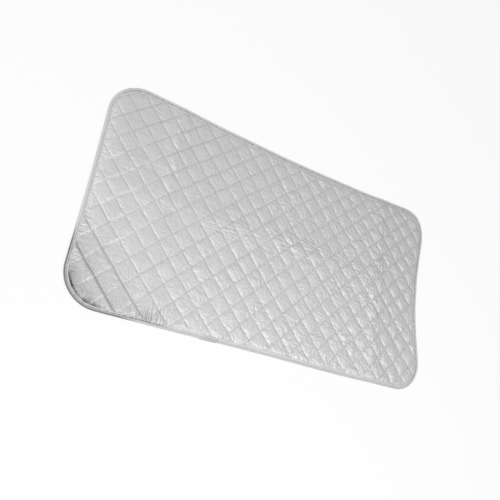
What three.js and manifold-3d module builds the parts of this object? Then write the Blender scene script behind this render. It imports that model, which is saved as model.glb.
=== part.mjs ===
// A quilted ironing pad. A coated face cloth, a wadding and a backing cloth are sewn through along two
// families of diagonal lines, which makes diamond puffs, and a folded tape binds the cut edge.
// Units are millimetres. The pad lies flat with +X along its length, +Y to its back side and +Z up.
// The origin is under the middle of the pad, on the surface that it lies on.
import * as THREE from "three";
import { mergeVertices } from "three/addons/utils/BufferGeometryUtils.js";
import Module from "manifold-3d";

const wasm = await Module();
wasm.setup();

// Outline
const LENGTH = 850;
const WIDTH = 460;
const CORNER_RADIUS = 70;
// How far the binding draws in the middle of each side
const RIGHT_END_DRAW = 15;
const BACK_SIDE_DRAW = 11;
const LEFT_END_DRAW = 2;
const FRONT_SIDE_DRAW = 1;

// Layers
const BACKING_THICKNESS = 0.6;
const WADDING_THICKNESS = 2.5;
const FACE_THICKNESS = 0.5;
const PUFF_HEIGHT = 3;

// Quilting lines
const RISING_LINE_SPACING = 35.6;
const FALLING_LINE_SPACING = 33.5;
const QUILT_ANGLE = 44.1;
const QUILT_SHIFT_X = 2.2;
const QUILT_SHIFT_Y = -9.7;
const THREAD_WIDTH = 0.5;
const THREAD_THICKNESS = 0.3;
// How far inside the cut edge a quilting thread turns back, hidden in the binding
const THREAD_TURN_MARGIN = 2;

// Binding tape, folded over the edge
const BINDING_WIDTH = 8.5;
const TAPE_THICKNESS = 0.5;
const FOLD_BEVEL = 0.8;
const SEAM_MARGIN = 2;
const BINDING_THREAD_WIDTH = 0.6;
const BINDING_THREAD_THICKNESS = 0.3;

// Clearances
const LAYER_GAP = 0.1;
const EDGE_CLEARANCE = 0.3;
const SEAM_CLEARANCE = 0.2;

// Steps of the outline along each side and round each corner
const SIDE_STEPS = 8;
const CORNER_STEPS = 6;

// The binding is stitched through a shallow seam groove on both faces
const seamDepth = BINDING_THREAD_THICKNESS + 2 * LAYER_GAP;
const foldThickness = TAPE_THICKNESS + seamDepth;
const seamInset = BINDING_WIDTH - SEAM_MARGIN;

// Heights, from the resting surface up
const threadPitch = THREAD_THICKNESS + LAYER_GAP;
const threadRoom = 2 * threadPitch + LAYER_GAP;
const backingBottom = foldThickness + threadRoom;
const backingTop = backingBottom + BACKING_THICKNESS;
const waddingBottom = backingTop + LAYER_GAP;
const waddingTop = waddingBottom + WADDING_THICKNESS;
const faceBottom = waddingTop + LAYER_GAP;
const stitchLevel = faceBottom + FACE_THICKNESS;
const upperFoldBottom = stitchLevel + threadRoom;
const bindingTop = upperFoldBottom + foldThickness;

// The layers are cut to fit inside the fold, and the puffs end at the binding's inner edge
const cutInset = foldThickness + EDGE_CLEARANCE;
const threadInset = cutInset + THREAD_TURN_MARGIN;
const puffInset = BINDING_WIDTH + EDGE_CLEARANCE;

const straightX = LENGTH / 2 - CORNER_RADIUS;
const straightY = WIDTH / 2 - CORNER_RADIUS;

// A side's draw-in, from 0 at its ends (t = -1 and 1) to 1 in its middle (t = 0)
function bow(t) {
  const within = THREE.MathUtils.clamp(t, -1, 1);
  return (1 - within ** 2) ** 1.5;
}

// The pad's outline, moved in by inset: four drawn-in sides and four round corners, anticlockwise
function outline(inset) {
  const radius = CORNER_RADIUS - inset;
  const draws = [RIGHT_END_DRAW, BACK_SIDE_DRAW, LEFT_END_DRAW, FRONT_SIDE_DRAW];
  const points = [];
  draws.forEach((draw, side) => {
    const alongX = side % 2 === 1;
    const halfRun = alongX ? straightX : straightY;
    const halfReach = (alongX ? straightY : straightX) + radius;
    const turn = (side * Math.PI) / 2;
    const place = (out, along) => {
      points.push(new THREE.Vector2(out, along).rotateAround(new THREE.Vector2(), turn));
    };
    for (let k = 0; k < SIDE_STEPS; k += 1) {
      const t = -1 + (2 * k) / SIDE_STEPS;
      place(halfReach - draw * bow(t), t * halfRun);
    }
    for (let k = 0; k < CORNER_STEPS; k += 1) {
      const angle = ((Math.PI / 2) * k) / CORNER_STEPS;
      place(halfReach - radius + radius * Math.cos(angle), halfRun + radius * Math.sin(angle));
    }
  });
  return points;
}

// How far a point lies inside the outline moved in by inset
function insideDistance(point, inset) {
  const radius = CORNER_RADIUS - inset;
  const drawX = point.x > 0 ? RIGHT_END_DRAW : LEFT_END_DRAW;
  const drawY = point.y > 0 ? BACK_SIDE_DRAW : FRONT_SIDE_DRAW;
  const pastX = Math.abs(point.x) - straightX + drawX * bow(point.y / straightY);
  const pastY = Math.abs(point.y) - straightY + drawY * bow(point.x / straightX);
  const outside = Math.hypot(Math.max(pastX, 0), Math.max(pastY, 0));
  return radius - outside - Math.min(Math.max(pastX, pastY), 0);
}

// Where quilting line number i of the falling family crosses number j of the rising family
function quiltPoint(i, j) {
  const angle = THREE.MathUtils.degToRad(QUILT_ANGLE);
  const point = new THREE.Vector2(i * FALLING_LINE_SPACING, j * RISING_LINE_SPACING);
  point.rotateAround(new THREE.Vector2(), angle);
  return point.add(new THREE.Vector2(QUILT_SHIFT_X, QUILT_SHIFT_Y));
}

// Enough quilting lines on each side of the middle one to cover the pad
const narrowSpacing = Math.min(RISING_LINE_SPACING, FALLING_LINE_SPACING);
const wideSpacing = Math.max(RISING_LINE_SPACING, FALLING_LINE_SPACING);
const quiltReach = Math.ceil((LENGTH + WIDTH) / 2 / Math.SQRT2 / narrowSpacing) + 1;

function bareGeometry(positions, triangles) {
  const geometry = new THREE.BufferGeometry();
  geometry.setAttribute("position", new THREE.Float32BufferAttribute(positions, 3));
  geometry.setIndex(triangles);
  return geometry;
}

function solidOf(geometry) {
  const bare = geometry.clone();
  bare.deleteAttribute("normal");
  bare.deleteAttribute("uv");
  const merged = mergeVertices(bare);
  const mesh = new wasm.Mesh({
    numProp: 3,
    vertProperties: new Float32Array(merged.getAttribute("position").array),
    triVerts: new Uint32Array(merged.getIndex().array),
  });
  return new wasm.Manifold(mesh);
}

function geometryOf(solid) {
  const mesh = solid.getMesh();
  return bareGeometry(Array.from(mesh.vertProperties), Array.from(mesh.triVerts));
}

// A flat plate between two heights
function plate(shape, bottom, top) {
  const geometry = new THREE.ExtrudeGeometry(shape, { depth: top - bottom, bevelEnabled: false });
  return geometry.translate(0, 0, bottom);
}

function layer(inset, bottom, top) {
  return plate(new THREE.Shape(outline(inset)), bottom, top);
}

// A slab whose top rises to a point in the middle of each diamond. The puffs sink to nothing at the
// binding. Its grid of crossings has one more line each way than it has diamonds.
function puffedSlab(bottom, groove, puff) {
  const lines = 2 * quiltReach + 1;
  const positions = [];
  const triangles = [];
  const add = (point, height) => positions.push(point.x, point.y, height) / 3 - 1;
  const grid = (height) =>
    Array.from({ length: lines }, (_, i) =>
      Array.from({ length: lines }, (__, j) => add(quiltPoint(i - quiltReach, j - quiltReach), height)),
    );
  const upper = grid(groove);
  const lower = grid(bottom);
  const last = lines - 1;
  const fullInside = wideSpacing / Math.SQRT2;
  for (let i = 0; i < last; i += 1) {
    for (let j = 0; j < last; j += 1) {
      const middle = quiltPoint(i - quiltReach + 0.5, j - quiltReach + 0.5);
      const share = THREE.MathUtils.clamp(insideDistance(middle, BINDING_WIDTH) / fullInside, 0, 1);
      const apex = add(middle, groove + puff * share);
      const ring = [upper[i][j], upper[i + 1][j], upper[i + 1][j + 1], upper[i][j + 1]];
      ring.forEach((corner, k) => triangles.push(corner, ring[(k + 1) % ring.length], apex));
      triangles.push(lower[i][j], lower[i][j + 1], lower[i + 1][j + 1]);
      triangles.push(lower[i][j], lower[i + 1][j + 1], lower[i + 1][j]);
    }
  }
  const wall = (a, b, c, d) => triangles.push(a, b, c, a, c, d);
  for (let k = 0; k < last; k += 1) {
    wall(lower[k][0], lower[k + 1][0], upper[k + 1][0], upper[k][0]);
    wall(lower[last][k], lower[last][k + 1], upper[last][k + 1], upper[last][k]);
    wall(lower[k + 1][last], lower[k][last], upper[k][last], upper[k + 1][last]);
    wall(lower[0][k + 1], lower[0][k], upper[0][k], upper[0][k + 1]);
  }
  return bareGeometry(positions, triangles);
}

// The face cloth with the puffs that it holds, and a flat margin under the binding
function faceCloth() {
  const puffs = solidOf(puffedSlab(faceBottom, stitchLevel, PUFF_HEIGHT));
  const trim = solidOf(layer(puffInset, faceBottom, stitchLevel + PUFF_HEIGHT));
  const margin = solidOf(layer(cutInset, faceBottom, stitchLevel));
  return geometryOf(puffs.intersect(trim).add(margin));
}

// The stretch of one quilting line that lies inside the outline moved in by inset
function lineInside(start, end, inset) {
  const points = outline(inset);
  const along = end.clone().sub(start);
  const hits = [];
  points.forEach((a, k) => {
    const b = points[(k + 1) % points.length];
    const edge = b.clone().sub(a);
    const across = along.cross(edge);
    const offset = a.clone().sub(start);
    const onLine = offset.cross(edge) / across;
    const onEdge = offset.cross(along) / across;
    if (onEdge >= 0 && onEdge < 1) hits.push(onLine);
  });
  if (hits.length < 2) return null;
  const at = (t) => start.clone().addScaledVector(along, t);
  return [at(Math.min(...hits)), at(Math.max(...hits))];
}

// One unbroken quilting thread: along a line, a turn inside the binding, and back along the next line
function quiltingPath(rising) {
  const path = [];
  for (let k = -quiltReach; k <= quiltReach; k += 1) {
    const ends = [-quiltReach, quiltReach].map((m) => (rising ? quiltPoint(m, k) : quiltPoint(k, m)));
    const run = lineInside(ends[0], ends[1], threadInset);
    if (run && run[0].distanceTo(run[1]) > wideSpacing) {
      const forward = (path.length / 2) % 2 === 0;
      path.push(...(forward ? run : run.reverse()));
    }
  }
  return path;
}

// A ribbon of even width along a path of straight runs, with mitred turns
function ribbon(path, width) {
  const normals = path.slice(1).map((point, k) => {
    const run = point.clone().sub(path[k]).normalize();
    return new THREE.Vector2(-run.y, run.x);
  });
  const offsets = path.map((_, k) => {
    const before = normals[Math.max(k - 1, 0)];
    const after = normals[Math.min(k, normals.length - 1)];
    return before.clone().add(after).multiplyScalar(width / 2 / (1 + before.dot(after)));
  });
  const left = path.map((point, k) => point.clone().add(offsets[k]));
  const right = path.map((point, k) => point.clone().sub(offsets[k]));
  return new THREE.Shape([...right, ...left.reverse()]);
}

function quiltingThread(rising, bottom) {
  return plate(ribbon(quiltingPath(rising), THREAD_WIDTH), bottom, bottom + THREAD_THICKNESS);
}

// A closed seam that follows the outline inside the binding
function bindingThread(bottom) {
  const ring = new THREE.Shape(outline(seamInset - BINDING_THREAD_WIDTH / 2));
  ring.holes.push(new THREE.Path(outline(seamInset + BINDING_THREAD_WIDTH / 2)));
  return plate(ring, bottom, bottom + BINDING_THREAD_THICKNESS);
}

// The folded tape: its section, as inset and height, is carried round the outline
function edgeBinding() {
  const grooveOuter = seamInset - BINDING_THREAD_WIDTH / 2 - SEAM_CLEARANCE;
  const grooveInner = seamInset + BINDING_THREAD_WIDTH / 2 + SEAM_CLEARANCE;
  const section = [
    [0, FOLD_BEVEL],
    [0, bindingTop - FOLD_BEVEL],
    [FOLD_BEVEL, bindingTop],
    [grooveOuter, bindingTop],
    [grooveOuter, bindingTop - seamDepth],
    [grooveInner, bindingTop - seamDepth],
    [grooveInner, bindingTop],
    [BINDING_WIDTH, bindingTop],
    [BINDING_WIDTH, upperFoldBottom],
    [foldThickness, upperFoldBottom],
    [foldThickness, foldThickness],
    [BINDING_WIDTH, foldThickness],
    [BINDING_WIDTH, 0],
    [grooveInner, 0],
    [grooveInner, seamDepth],
    [grooveOuter, seamDepth],
    [grooveOuter, 0],
    [FOLD_BEVEL, 0],
  ];
  const rim = ([inset, height]) => outline(inset).flatMap(({ x, y }) => [x, y, height]);
  const positions = section.flatMap(rim);
  const steps = outline(0).length;
  const triangles = [];
  section.forEach((_, row) => {
    const here = row * steps;
    const next = ((row + 1) % section.length) * steps;
    for (let k = 0; k < steps; k += 1) {
      const on = (k + 1) % steps;
      triangles.push(here + k, here + on, next + on, here + k, next + on, next + k);
    }
  });
  return bareGeometry(positions, triangles);
}

const silverCloth = { color: 0xc6c6c6, roughness: 0.5, metalness: 0.25 };
const whiteFibre = { color: 0xeeece6, roughness: 0.95, metalness: 0 };
const greyCloth = { color: 0xb9bab9, roughness: 0.85, metalness: 0 };
const silverTape = { color: 0xbcbcbc, roughness: 0.6, metalness: 0.15 };
const paleThread = { color: 0xd6d6d4, roughness: 0.7, metalness: 0 };

const pad = new THREE.Group();

function addPiece(name, geometry, finish) {
  geometry.computeVertexNormals();
  const mesh = new THREE.Mesh(geometry, new THREE.MeshStandardMaterial(finish));
  mesh.name = name;
  pad.add(mesh);
}

addPiece("face_cloth", faceCloth(), silverCloth);
addPiece("wadding", layer(cutInset, waddingBottom, waddingTop), whiteFibre);
addPiece("backing_cloth", layer(cutInset, backingBottom, backingTop), greyCloth);
addPiece("edge_binding", edgeBinding(), silverTape);

// Needle threads lie on the face cloth and bobbin threads under the backing, the falling family outermost
const upperThread = stitchLevel + LAYER_GAP;
const lowerThread = backingBottom - threadPitch;
addPiece("quilting_thread_rising", quiltingThread(true, upperThread), paleThread);
addPiece("quilting_thread_falling", quiltingThread(false, upperThread + threadPitch), paleThread);
addPiece("quilting_bobbin_thread_rising", quiltingThread(true, lowerThread), paleThread);
addPiece("quilting_bobbin_thread_falling", quiltingThread(false, lowerThread - threadPitch), paleThread);
addPiece("binding_thread", bindingThread(bindingTop - seamDepth + LAYER_GAP), paleThread);
addPiece("binding_bobbin_thread", bindingThread(LAYER_GAP), paleThread);

export default pad;
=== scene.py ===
"""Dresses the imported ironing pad: silver quilted cloth, wadding, backing, bound edge and every stitch.

The layers are surfaces on the quilting lattice. The face cloth's puffs are simulated as cloth that is held
along the sewn lines, and single stitches are laid along the same lines. All sizes are in metres.
"""

import logging
import math
from dataclasses import dataclass, field
from enum import Enum

import bpy
import numpy as np
from mathutils import Matrix, Vector


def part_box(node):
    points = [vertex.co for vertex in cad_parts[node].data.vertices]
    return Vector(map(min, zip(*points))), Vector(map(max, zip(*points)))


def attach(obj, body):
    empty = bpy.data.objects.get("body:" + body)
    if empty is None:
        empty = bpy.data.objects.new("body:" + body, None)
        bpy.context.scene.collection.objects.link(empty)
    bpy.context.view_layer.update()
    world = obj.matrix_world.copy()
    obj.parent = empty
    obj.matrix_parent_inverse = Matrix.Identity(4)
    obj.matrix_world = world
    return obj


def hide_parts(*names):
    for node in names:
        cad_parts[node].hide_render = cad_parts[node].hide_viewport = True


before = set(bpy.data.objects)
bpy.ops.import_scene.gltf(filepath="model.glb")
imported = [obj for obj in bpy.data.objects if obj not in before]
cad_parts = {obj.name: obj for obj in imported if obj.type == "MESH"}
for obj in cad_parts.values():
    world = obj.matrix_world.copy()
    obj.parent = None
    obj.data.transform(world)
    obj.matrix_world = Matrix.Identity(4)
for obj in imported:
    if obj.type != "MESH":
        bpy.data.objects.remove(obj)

LOG = logging.getLogger("ironing_pad")
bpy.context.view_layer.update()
MM = 0.001
Array = np.ndarray
Piece = bpy.types.Object
Span = tuple[float, float]
Point = tuple[float, float, float]
# The order of a quad's corners that turns it over and keeps its first corner
TURNED = [0, 3, 2, 1]


def ease(share: Array) -> Array:
    """A smooth step from 0 to 1: three times the square less twice the cube of the clipped share."""
    clipped = np.clip(share, 0.0, 1.0)
    return clipped * clipped * (3.0 - 2.0 * clipped)


def bell(offset: Array, width: float) -> Array:
    """A smooth bump, 1 at no offset: e to the minus square of the offset in widths."""
    return np.exp(-((offset / width) ** 2))


def fade(distance: Array, run: float) -> Array:
    """A fall from 1 with the distance: e to the minus distance in runs, and 1 where that is below zero."""
    return np.exp(-np.maximum(distance, 0.0) / run)


def pillow(place: Array, power: float = 2.4) -> Array:
    """A rounded profile between whole numbers: one less the share of the half width, raised to power."""
    return 1.0 - np.abs((place - np.floor(place) - 0.5) * 2.0) ** power


def gather(ticks: Array, pull: float = 0.35) -> Array:
    """Moves evenly spaced ticks toward whole numbers: each tick less a sine wave of its place."""
    return ticks - pull * np.sin(2.0 * math.pi * ticks) / (2.0 * math.pi)


def ridges(noise: Array, level: float = 0.4) -> Array:
    """Sharp crests where noise crosses zero: one less the absolute value, squared, less a mean level."""
    return (1.0 - np.abs(noise)) ** 2 - level


def value_noise(x: Array, y: Array, seed: int) -> Array:
    """Smooth noise: seeded values on a unit grid, eased between the four corners of each square.

    Args:
        x: first coordinate, in grid squares.
        y: second coordinate, in grid squares.
        seed: which table of values is used.

    Returns:
        Noise from -1 to 1.
    """
    size = 97
    table = np.random.default_rng(seed).uniform(-1.0, 1.0, (size, size))
    column, row = np.floor(x), np.floor(y)
    across, up = ease(x - column), ease(y - row)
    i, j = column.astype(int) % size, row.astype(int) % size
    near = table[i, j] * (1.0 - across) + table[(i + 1) % size, j] * across
    far = table[i, (j + 1) % size] * (1.0 - across) + table[(i + 1) % size, (j + 1) % size] * across
    return near * (1.0 - up) + far * up


def layered_noise(x: Array, y: Array, seed: int, layers: int) -> Array:
    """Noise with finer and weaker layers: each layer has half the size and half the height of the last.

    Args:
        x: first coordinate, in squares of the first layer.
        y: second coordinate, in squares of the first layer.
        seed: seed of the first layer.
        layers: how many layers are added.

    Returns:
        Noise of about -1 to 1.
    """
    total = np.zeros(np.broadcast(x, y).shape)
    for layer in range(layers):
        total = total + value_noise(x * 2.0**layer, y * 2.0**layer, seed + layer) / 2.0**layer
    return total / (2.0 - 2.0 ** (1 - layers))


@dataclass(frozen=True)
class Grain:
    """Seeded noise over the plan: its height, the size of its squares each way, its seed and its layers."""

    height: float
    size_x: float
    size_y: float
    seed: int
    layers: int = 1

    def at(self, x: Array, y: Array, later: int = 0) -> Array:
        """The noise's height at places of the plan, with its own seed or a later one."""
        return self.height * layered_noise(x / self.size_x, y / self.size_y, self.seed + later, self.layers)


@dataclass(frozen=True)
class Ramp:
    """An eased rise along one direction: its height, where it starts and how far it runs."""

    height: float
    start: float
    run: float

    def at(self, along: Array) -> Array:
        """The rise's height, with a run below zero for one that comes from the far side."""
        return self.height * ease((along - self.start) / self.run)


@dataclass(frozen=True)
class Bulge:
    """A smooth bump along one direction: its height, the place of its middle and its width."""

    height: float
    place: float
    width: float

    def at(self, along: Array) -> Array:
        """The bump's height: e to the minus square of the distance in widths."""
        return self.height * bell(along - self.place, self.width)


@dataclass(frozen=True)
class Crease:
    """An old fold of the pad: the line that it runs on, its height and the reach of its slopes."""

    place: float
    height: float
    reach: float

    def at(self, along: Array) -> Array:
        """The fold's height: e to the minus distance from it in reaches."""
        return self.height * np.exp(-np.abs(along - self.place) / self.reach)


@dataclass(frozen=True)
class PadPlan:
    """The pad's plan and its lie: outline, quilting lattice, and how the whole pad rests on the table."""

    length: float
    width: float
    corner_radius: float = 70.0 * MM
    draw_right: float = 15.0 * MM
    draw_back: float = 11.0 * MM
    draw_left: float = 2.0 * MM
    draw_front: float = 1.0 * MM
    binding_width: float = 8.5 * MM
    falling_spacing: float = 33.5 * MM
    rising_spacing: float = 35.6 * MM
    quilt_angle: float = math.radians(44.1)
    quilt_shift: Span = (2.2 * MM, -9.7 * MM)
    slip_ends: float = 8.4 * MM
    slip_sides: float = 8.7 * MM
    corner_start: float = 250.0 * MM
    corner_run: float = 185.0 * MM
    corner_most: float = 1.2
    corner_stretch: float = 32.0 * MM
    wobble_x: Grain = Grain(1.9 * MM, 40.0 * MM, 40.0 * MM, 13, 3)
    wobble_y: Grain = Grain(1.9 * MM, 40.0 * MM, 40.0 * MM, 14, 3)
    curl: float = 3.0 * MM
    long_crease: Crease = Crease(14.0 * MM, 1.4 * MM, 28.0 * MM)
    left_crease: Crease = Crease(-272.0 * MM, 2.2 * MM, 30.0 * MM)
    right_crease: Crease = Crease(281.0 * MM, 3.0 * MM, 38.0 * MM)
    crease_wander: Grain = Grain(5.0 * MM, 50.0 * MM, 50.0 * MM, 3)
    wave: Grain = Grain(0.9 * MM, 160.0 * MM, 160.0 * MM, 11, 2)
    wave_shift: Span = (496.0 * MM, 1232.0 * MM)
    front_left_pull: Span = (-4.6 * MM, -2.6 * MM)
    front_right_pull: Span = (-2.9 * MM, 3.1 * MM)
    back_right_pull: Span = (1.7 * MM, 1.1 * MM)
    back_left_pull: Span = (4.6 * MM, -1.2 * MM)
    left_in: float = 1.2 * MM
    front_left_in: float = 1.5 * MM
    right_out: float = 2.5 * MM
    right_turn: float = 3.2 * MM
    back_out: Bulge = Bulge(1.8 * MM, -60.0 * MM, 120.0 * MM)
    back_in: Bulge = Bulge(2.8 * MM, 260.0 * MM, 90.0 * MM)
    front_out: Bulge = Bulge(2.5 * MM, 180.0 * MM, 160.0 * MM)
    tip_push: float = 5.8 * MM
    tip_width: float = 38.0 * MM

    @property
    def straight(self) -> Span:
        """Half the straight run of the long and of the short sides."""
        return self.length / 2 - self.corner_radius, self.width / 2 - self.corner_radius

    @property
    def mean_spacing(self) -> float:
        """Mean distance between sewn lines."""
        return (self.falling_spacing + self.rising_spacing) / 2

    @property
    def line_reach(self) -> int:
        """Enough sewn lines on each side of the middle ones to cover the pad."""
        return math.ceil((self.length + self.width) / 2 / math.sqrt(2.0) / self.falling_spacing) + 1

    @staticmethod
    def bow(t: Array) -> Array:
        """A side's draw-in, 0 at its ends and 1 in the middle: (1 - t squared) to the power 1.5."""
        return (1.0 - np.clip(t, -1.0, 1.0) ** 2) ** 1.5

    def outline(self, count: int) -> tuple[Array, Array]:
        """The edge as evenly spaced points: four drawn-in sides and four round corners, anticlockwise.

        Args:
            count: how many points go round.

        Returns:
            The points and their inward unit normals.
        """
        closed, distance = self._edge()
        wanted = np.linspace(0.0, distance[-1], count, endpoint=False)
        points = np.stack([np.interp(wanted, distance, closed[:, k]) for k in range(2)], axis=1)
        tangent = np.roll(points, -1, axis=0) - np.roll(points, 1, axis=0)
        tangent /= np.linalg.norm(tangent, axis=1, keepdims=True)
        return points, np.stack([-tangent[:, 1], tangent[:, 0]], axis=1)

    def around(self) -> float:
        """The length of the edge all round."""
        return float(self._edge()[1][-1])

    def _edge(self, side_points: int = 400, corner_points: int = 200) -> tuple[Array, Array]:
        """The edge as close points, a side and its corner for each quarter turn.

        Args:
            side_points: points on each side.
            corner_points: points on each corner.

        Returns:
            The closed line and the distance along it of each point.
        """
        run_x, run_y = self.straight
        t = np.linspace(-1.0, 1.0, side_points, endpoint=False)
        turn = np.linspace(0.0, math.pi / 2, corner_points, endpoint=False)
        draws = (self.draw_right, self.draw_back, self.draw_left, self.draw_front)
        parts = []
        for quarter, draw in enumerate(draws):
            reach, run = (run_y, run_x) if quarter % 2 else (run_x, run_y)
            side = reach + self.corner_radius - draw * self.bow(t)
            out = np.concatenate([side, reach + self.corner_radius * np.cos(turn)])
            along = np.concatenate([t * run, run + self.corner_radius * np.sin(turn)])
            cosine, sine = round(math.cos(quarter * math.pi / 2)), round(math.sin(quarter * math.pi / 2))
            parts.append(np.stack([out * cosine - along * sine, out * sine + along * cosine], axis=1))
        closed = np.concatenate([*parts, parts[0][:1]])
        return closed, np.concatenate([[0.0], np.cumsum(np.linalg.norm(np.diff(closed, axis=0), axis=1))])

    def inside(self, x: Array, y: Array, inset: float) -> Array:
        """How far points lie inside the outline moved in by inset, as for a box with round corners.

        Args:
            x: plan coordinate along the length.
            y: plan coordinate across the width.
            inset: how far the outline is moved in.

        Returns:
            Distances, below zero outside.
        """
        run_x, run_y = self.straight
        draw_x = np.where(x > 0.0, self.draw_right, self.draw_left) * self.bow(y / run_y)
        draw_y = np.where(y > 0.0, self.draw_back, self.draw_front) * self.bow(x / run_x)
        past_x = np.abs(x) - run_x + draw_x
        past_y = np.abs(y) - run_y + draw_y
        outside = np.hypot(np.maximum(past_x, 0.0), np.maximum(past_y, 0.0))
        return self.corner_radius - inset - outside - np.minimum(np.maximum(past_x, past_y), 0.0)

    def into_corner(self, x: Array, y: Array) -> Array:
        """Share of the way into the front left corner, along its diagonal: 0 inside and 1 at the tip."""
        past = -(x + y) / math.sqrt(2.0) - self.corner_start
        return np.clip(past / self.corner_run, 0.0, self.corner_most)

    def from_lattice(self, a: Array, b: Array) -> tuple[Array, Array]:
        """Plan coordinates of lattice coordinates, which are whole numbers on the sewn lines.

        The lattice is turned and shifted. Its rising lines slip by the square of the distance from the
        middle, up at the pad's ends and down at its sides, as lines do that are sewn on slack cloth. Its
        falling lines are pulled outward by the cube of the distance into the front left corner. All
        lines wobble by a smooth noise.

        Args:
            a: place across the falling lines.
            b: place across the rising lines.

        Returns:
            The x and y of each place.
        """
        cosine, sine = math.cos(self.quilt_angle), math.sin(self.quilt_angle)
        across, up = a * self.falling_spacing, b * self.rising_spacing
        x = across * cosine - up * sine + self.quilt_shift[0]
        y = across * sine + up * cosine + self.quilt_shift[1]
        slip = self.slip_ends * (2.0 * x / self.length) ** 2 - self.slip_sides * (2.0 * y / self.width) ** 2
        pull = self.corner_stretch * self.into_corner(x, y) ** 3
        moved_x = x - slip * sine - pull * cosine + self.wobble_x.at(x, y)
        return moved_x, y + slip * cosine - pull * sine + self.wobble_y.at(x, y)

    def lie(self, x: Array, y: Array) -> Array:
        """Height of the pad's lie above the table: a curled front left corner, three creases, a slow wave.

        Args:
            x: plan coordinate along the length.
            y: plan coordinate across the width.

        Returns:
            How far the layers are lifted there, never below zero.
        """
        wander = self.crease_wander.at(x, y)
        ends = self.left_crease.at(x + wander) + self.right_crease.at(x + wander)
        wave = self.wave.height + self.wave.at(x + self.wave_shift[0], y + self.wave_shift[1])
        return self.curl * self.into_corner(x, y) ** 2 + ends + self.long_crease.at(y + wander) + wave

    def settle(self, points: Array) -> Array:
        """Moves flat points to where the pad lies: small pulls of its corners in plan, and the lie's height.

        Args:
            points: an array whose last axis is x, y, z, with z above the table for a flat pad.

        Returns:
            The moved points.
        """
        x, y = points[..., 0], points[..., 1]
        share_x, share_y = x / (self.length / 2), y / (self.width / 2)
        move_x, move_y = self.edge_shift(x, y)
        pulls = {
            (-1, -1): self.front_left_pull,
            (1, -1): self.front_right_pull,
            (1, 1): self.back_right_pull,
            (-1, 1): self.back_left_pull,
        }
        for (side_x, side_y), (pull_x, pull_y) in pulls.items():
            weight = (1.0 + side_x * share_x) * (1.0 + side_y * share_y) / 4.0
            move_x, move_y = move_x + weight * pull_x, move_y + weight * pull_y
        return points + np.stack([move_x, move_y, self.lie(x, y)], axis=-1)

    def edge_shift(self, x: Array, y: Array) -> tuple[Array, Array]:
        """Small plan moves of the pad's edges, which fade inward by the fourth power of the share.

        The left edge lies a little in and the right one out at its front, the back edge is a shallow wave,
        the front one bulges, and the back right corner is pushed out to a squarer shape round its tip.

        Args:
            x: plan coordinate along the length.
            y: plan coordinate across the width.

        Returns:
            How far each place moves in x and in y.
        """
        share_x, share_y = x / (self.length / 2), y / (self.width / 2)
        left, right, front, back = (np.clip(s, 0.0, 1.0) ** 4 for s in (-share_x, share_x, -share_y, share_y))
        tip = self.corner_radius * (1.0 - math.sqrt(0.5))
        near_x = bell(x - self.length / 2 + tip, self.tip_width)
        near_y = bell(y - self.width / 2 + tip, self.tip_width)
        both = self.tip_push * near_x * near_y + self.front_left_in * left * front
        move_x = self.left_in * left + (self.right_out - self.right_turn * share_y) * right
        move_y = (self.back_out.at(x) - self.back_in.at(x)) * back - self.front_out.at(x) * front
        return move_x + both, move_y + both


def new_piece(name: str, points: Array, faces: Array, uv: Array | None = None) -> Piece:
    """Makes a smooth mesh object from whole arrays.

    Args:
        name: the piece's name.
        points: vertices, one row each.
        faces: vertex numbers, one face a row.
        uv: a pattern coordinate for each vertex, or None.

    Returns:
        The new object, at the origin.
    """
    mesh = bpy.data.meshes.new(name)
    mesh.from_pydata(points.reshape(-1, 3).tolist(), [], faces.tolist())
    if uv is not None:
        layer = mesh.uv_layers.new(name="Cloth")
        corners = np.empty(len(mesh.loops), dtype=np.int32)
        mesh.loops.foreach_get("vertex_index", corners)
        layer.data.foreach_set("uv", uv.reshape(-1, 2)[corners].astype(np.float32).ravel())
    mesh.polygons.foreach_set("use_smooth", np.ones(len(mesh.polygons), dtype=bool))
    mesh.update()
    piece = bpy.data.objects.new(name, mesh)
    bpy.context.scene.collection.objects.link(piece)
    return piece


def grid_faces(rows: int, columns: int, close_rows: bool = False, close_columns: bool = False) -> Array:
    """Quads of a grid of rows and columns, numbered row by row, that may close on itself each way.

    Args:
        rows: number of rows.
        columns: number of columns.
        close_rows: whether the last row joins the first.
        close_columns: whether the last column joins the first.

    Returns:
        Vertex numbers, four a row.
    """
    row = np.arange(rows if close_rows else rows - 1)[:, None]
    column = np.arange(columns if close_columns else columns - 1)[None, :]
    next_row, next_column = (row + 1) % rows, (column + 1) % columns
    corners = ((row, column), (row, next_column), (next_row, next_column), (next_row, column))
    return np.stack([down * columns + across for down, across in corners], axis=-1).reshape(-1, 4)


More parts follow.
